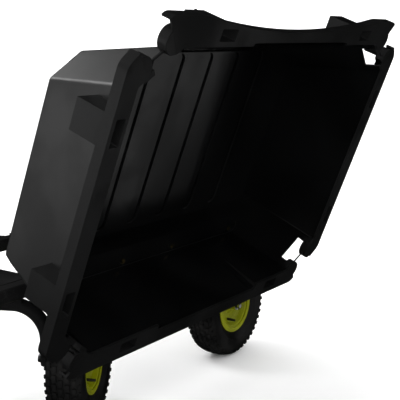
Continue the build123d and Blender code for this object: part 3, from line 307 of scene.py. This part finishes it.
# ---- Pins, spindles, nuts and bolts ----
# Bright zinc plated steel, faintly cloudy from the plating bath, and yellow passivated bolts along the
# tub's hinge ledge.
for slot_name, finish_name, light, dull in (
    ("zinc_steel", "bright_zinc", (0.60, 0.61, 0.63), (0.42, 0.43, 0.45)),
    ("yellow_zinc", "yellow_zinc", (0.78, 0.60, 0.24), (0.58, 0.44, 0.18)),
):
    plating, tree, shader, wear = start_finish(finish_name, 900.0, 40.0, 90.0)
    shader.inputs["Metallic"].default_value = 1.0
    tree.links.new(mix_colour(tree, wear["Cloud"], light, dull), shader.inputs["Base Color"])
    tree.links.new(mix_value(tree, wear["Cloud"], 0.24, 0.42), shader.inputs["Roughness"])
    bump(tree, shader, wear["Grain"], 0.10, 0.0002)
    dress(by_slot[slot_name], plating)

# ---- Rubber rests, caps and bushes ----
# Moulded rubber buffers and nylon caps and bushes: matt black, with a fine even grain and a bloom of
# grey where the surface has aged.
MOULDED = (("rubber", "moulded_rubber", 0.72), ("black_nylon", "black_nylon", 0.48))
for slot_name, finish_name, roughness in MOULDED:
    moulded, tree, shader, wear = start_finish(finish_name, 700.0, 22.0, 60.0)
    black = mix_colour(tree, wear["Cloud"], (0.011, 0.011, 0.011), (0.022, 0.022, 0.022))
    tree.links.new(black, shader.inputs["Base Color"])
    tree.links.new(mix_value(tree, wear["Cloud"], roughness, roughness + 0.1), shader.inputs["Roughness"])
    bump(tree, shader, wear["Grain"], 0.25, 0.0003)
    dress(by_slot[slot_name], moulded)

# ---- Wheel rims ----
# Pressed steel halves painted a glossy yellow green. Gloss enamel pools slightly, so it is a little
# deeper in colour in places, with a clear coat over it.
enamel, tree, shader, wear = start_finish("lime_enamel", 160.0, 16.0, 70.0)
lime = mix_colour(tree, wear["Cloud"], (0.165, 0.180, 0.001), (0.120, 0.134, 0.001))
tree.links.new(mix_colour(tree, wear["Scuff"], lime, (0.42, 0.44, 0.05)), shader.inputs["Base Color"])
tree.links.new(mix_value(tree, wear["Cloud"], 0.34, 0.42), shader.inputs["Roughness"])
shader.inputs["Specular IOR Level"].default_value = 0.12
shader.inputs["Coat Weight"].default_value = 0.05
shader.inputs["Coat Roughness"].default_value = 0.15
bump(tree, shader, wear["Grain"], 0.06, 0.0003)
dress(by_slot["wheel_rim"], enamel)

# ---- Tyres ----
# Rubber tyres with rows of moulded blocks round the tread, each row staggered against the next, and
# small lugs on the shoulders. One tyre is made on the axle line and copied to each wheel.
tyre_low, tyre_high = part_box("rear_left_tyre")
tyre_r = (tyre_high.z - tyre_low.z) / 2
BLOCK_PITCHES = 44
ROOT_R = tyre_r - 0.0034
BLOCK_DEPTH = 0.011
BLOCK_TAPER = (0.84, 0.82)
BLOCK_EASE = 0.0014
SECTION = [
    (0.0000, 0.0768), (0.0300, 0.0768), (0.0337, 0.0790), (0.0340, 0.0880), (0.0412, 0.0965),
    (0.0462, 0.1050), (0.0484, 0.1062), (0.0486, 0.1085), (0.0484, 0.1160), (0.0494, 0.1260),
    (0.0486, 0.1350), (0.0458, 0.1450), (0.0410, 0.1520), (0.0330, 0.1555), (0.0170, ROOT_R - 0.0005),
    (0.0000, ROOT_R),
]

bpy.ops.object.select_all(action="DESELECT")
outline = SECTION + [(-across, radius) for across, radius in reversed(SECTION[1:-1])]
bpy.ops.mesh.primitive_circle_add(vertices=len(outline), rotation=(0, pi / 2, 0))
carcass = bpy.context.active_object
bpy.ops.object.transform_apply(location=True, rotation=True, scale=True)
for vertex, (across, radius) in zip(carcass.data.vertices, outline):
    vertex.co = (0, across, radius)
bpy.ops.object.mode_set(mode="EDIT")
bpy.ops.mesh.select_all(action="SELECT")
bpy.ops.mesh.spin(steps=76, angle=2 * pi, center=(0, 0, 0), axis=(0, 1, 0))
bpy.ops.mesh.select_all(action="SELECT")
bpy.ops.mesh.remove_doubles(threshold=0.00002)
bpy.ops.mesh.normals_make_consistent(inside=False)
bpy.ops.object.mode_set(mode="OBJECT")
rounding = carcass.modifiers.new("rounding", "SUBSURF")
rounding.levels = rounding.render_levels = 1
bpy.ops.object.modifier_apply(modifier="rounding")


def add_tread_row(side, across, drop, length, width, lean, stagger):
    """One row of tapered, rounded blocks spaced evenly round the tyre, on one side of its middle."""
    bpy.ops.object.select_all(action="DESELECT")
    bpy.ops.mesh.primitive_cube_add(size=1, scale=(length, width, BLOCK_DEPTH))
    block = bpy.context.active_object
    bpy.ops.object.transform_apply(location=True, rotation=True, scale=True)
    for vertex in block.data.vertices:
        if vertex.co.z > 0:
            vertex.co.x *= BLOCK_TAPER[0]
            vertex.co.y *= BLOCK_TAPER[1]
    bpy.ops.object.mode_set(mode="EDIT")
    bpy.ops.mesh.select_all(action="SELECT")
    bpy.ops.mesh.bevel(offset=BLOCK_EASE, segments=2, affect="EDGES")
    bpy.ops.object.mode_set(mode="OBJECT")
    pitch = 2 * pi / BLOCK_PITCHES
    height = tyre_r - drop - BLOCK_DEPTH / 2 * cos(lean)
    seat = Matrix.Translation((0, side * across, height)) @ Matrix.Rotation(-side * lean, 4, "X")
    block.data.transform(Matrix.Rotation(stagger * pitch, 4, "Y") @ seat)
    bpy.ops.object.mode_set(mode="EDIT")
    bpy.ops.mesh.select_all(action="SELECT")
    turn = 2 * pi - pitch
    bpy.ops.mesh.spin(steps=BLOCK_PITCHES - 1, dupli=True, angle=turn, center=(0, 0, 0), axis=(0, 1, 0))
    bpy.ops.object.mode_set(mode="OBJECT")
    return block


# Each row's distance across, its drop below the tyre's outside, a block's length and width, its lean onto
# the shoulder in radians, and its stagger as a share of the pitch.
MIDDLE_ROW = (0.0, 0.0005, 0.0198, 0.0138, 0.0, 0.0)
SIDE_ROWS = (
    (0.0163, 0.0012, 0.0198, 0.0138, 0.07, 0.5),
    (0.0318, 0.0048, 0.0192, 0.0130, 0.30, 0.0),
    (0.0424, 0.0146, 0.0125, 0.0080, 0.95, 0.5),
)
tread_rows = [add_tread_row(1, *MIDDLE_ROW)]
for side in (-1, 1):
    for row in SIDE_ROWS:
        tread_rows.append(add_tread_row(side, *row))
bpy.ops.object.select_all(action="DESELECT")
for piece in tread_rows + [carcass]:
    piece.select_set(True)
bpy.context.view_layer.objects.active = carcass
bpy.ops.object.join()
bpy.ops.object.shade_smooth_by_angle(angle=radians(38))
carcass.data.materials.clear()

tyre_rubber, tree, shader, wear = start_finish("tyre_rubber", 480.0, 14.0, 40.0)
rubber_colour = mix_colour(tree, wear["Cloud"], (0.0042, 0.0042, 0.0042), (0.0085, 0.0083, 0.008))
rubber_colour = mix_colour(tree, wear["Scuff"], rubber_colour, (0.018, 0.017, 0.016))
tree.links.new(rubber_colour, shader.inputs["Base Color"])
shader.inputs["Specular IOR Level"].default_value = 0.18
tree.links.new(mix_value(tree, wear["Cloud"], 0.55, 0.70), shader.inputs["Roughness"])
bump(tree, shader, wear["Grain"], 0.30, 0.0004)

WHEEL_CORNERS = ("front_left", "front_right", "rear_left", "rear_right")
for corner in WHEEL_CORNERS:
    spin_joint = joints[f"{corner}_spin"]
    axle = Vector(spin_joint["axis"])
    turn = Vector((0, 1, 0)).rotation_difference(axle).to_matrix().to_4x4()
    tyre = bpy.data.objects.new(f"{corner}_treaded_tyre", carcass.data.copy())
    bpy.context.scene.collection.objects.link(tyre)
    tyre.data.transform(Matrix.Translation(spin_joint["pos_m"]) @ turn)
    tyre.data.materials.append(tyre_rubber)
    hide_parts(f"{corner}_tyre")
    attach(tyre, f"{corner}_wheel")
bpy.data.objects.remove(carcass)

# ---- Studio ----
# A pale floor in a white room, both kept out of the gloss, which shows the lamps alone. The key and side
# lamps put the sheen on the tub's outside, and the lamp below the floor stands in for the floor's own glow
# on the tub's panels.
bpy.ops.object.select_all(action="DESELECT")
FLOOR_SIZE = 40
bpy.ops.mesh.primitive_plane_add(size=FLOOR_SIZE)
floor = bpy.context.active_object
floor.name = "studio_floor"
floor_paint = bpy.data.materials.new("floor_paint")
floor_paint.use_nodes = True
shader = floor_paint.node_tree.nodes["Principled BSDF"]
shader.inputs["Base Color"].default_value = (0.9, 0.9, 0.9, 1)
shader.inputs["Roughness"].default_value = 0.9
floor.data.materials.append(floor_paint)
floor.visible_glossy = False

world = bpy.data.worlds.new("white_room")
bpy.context.scene.world = world
world.use_nodes = True
seen = world.node_tree.nodes["Background"]
seen.inputs["Color"].default_value = (1, 1, 1, 1)
seen.inputs["Strength"].default_value = 1.65
world.cycles_visibility.glossy = False
bpy.context.scene.view_settings.view_transform = "Standard"

# Each lamp's name, place, size and power.
LIGHTS = (
    ("key_light", (0.3, -2.6, 2.9), 1.5, 66.0),
    ("side_light", (2.0, -2.6, 0.9), 1.3, 13.0),
    ("hollow_light", (-0.23, 1.22, 3.14), 0.6, 1.5),
    ("panel_light", (-2.9, 2.2, -0.9), 1.6, 3.2),
    ("fill_light", (3.4, 1.0, 1.8), 1.0, 4.0),
)
LAMPS_AIM = Vector((-0.1, 0.1, 0.5))
for name, place, size, power in LIGHTS:
    data = bpy.data.lights.new(name, "AREA")
    data.size = size
    data.energy = power
    lamp = bpy.data.objects.new(name, data)
    bpy.context.scene.collection.objects.link(lamp)
    lamp.location = place
    lamp.rotation_euler = (LAMPS_AIM - Vector(place)).to_track_quat("-Z", "Y").to_euler()

camera_data = bpy.data.cameras.new("camera")
camera_data.lens = 79.74
camera_data.sensor_width = 36.0
camera = bpy.data.objects.new("camera", camera_data)
bpy.context.scene.collection.objects.link(camera)
camera.location = (1.606, 1.626, 1.008)
camera.rotation_euler = (radians(79.64), 0, radians(125.0))
bpy.context.scene.camera = camera
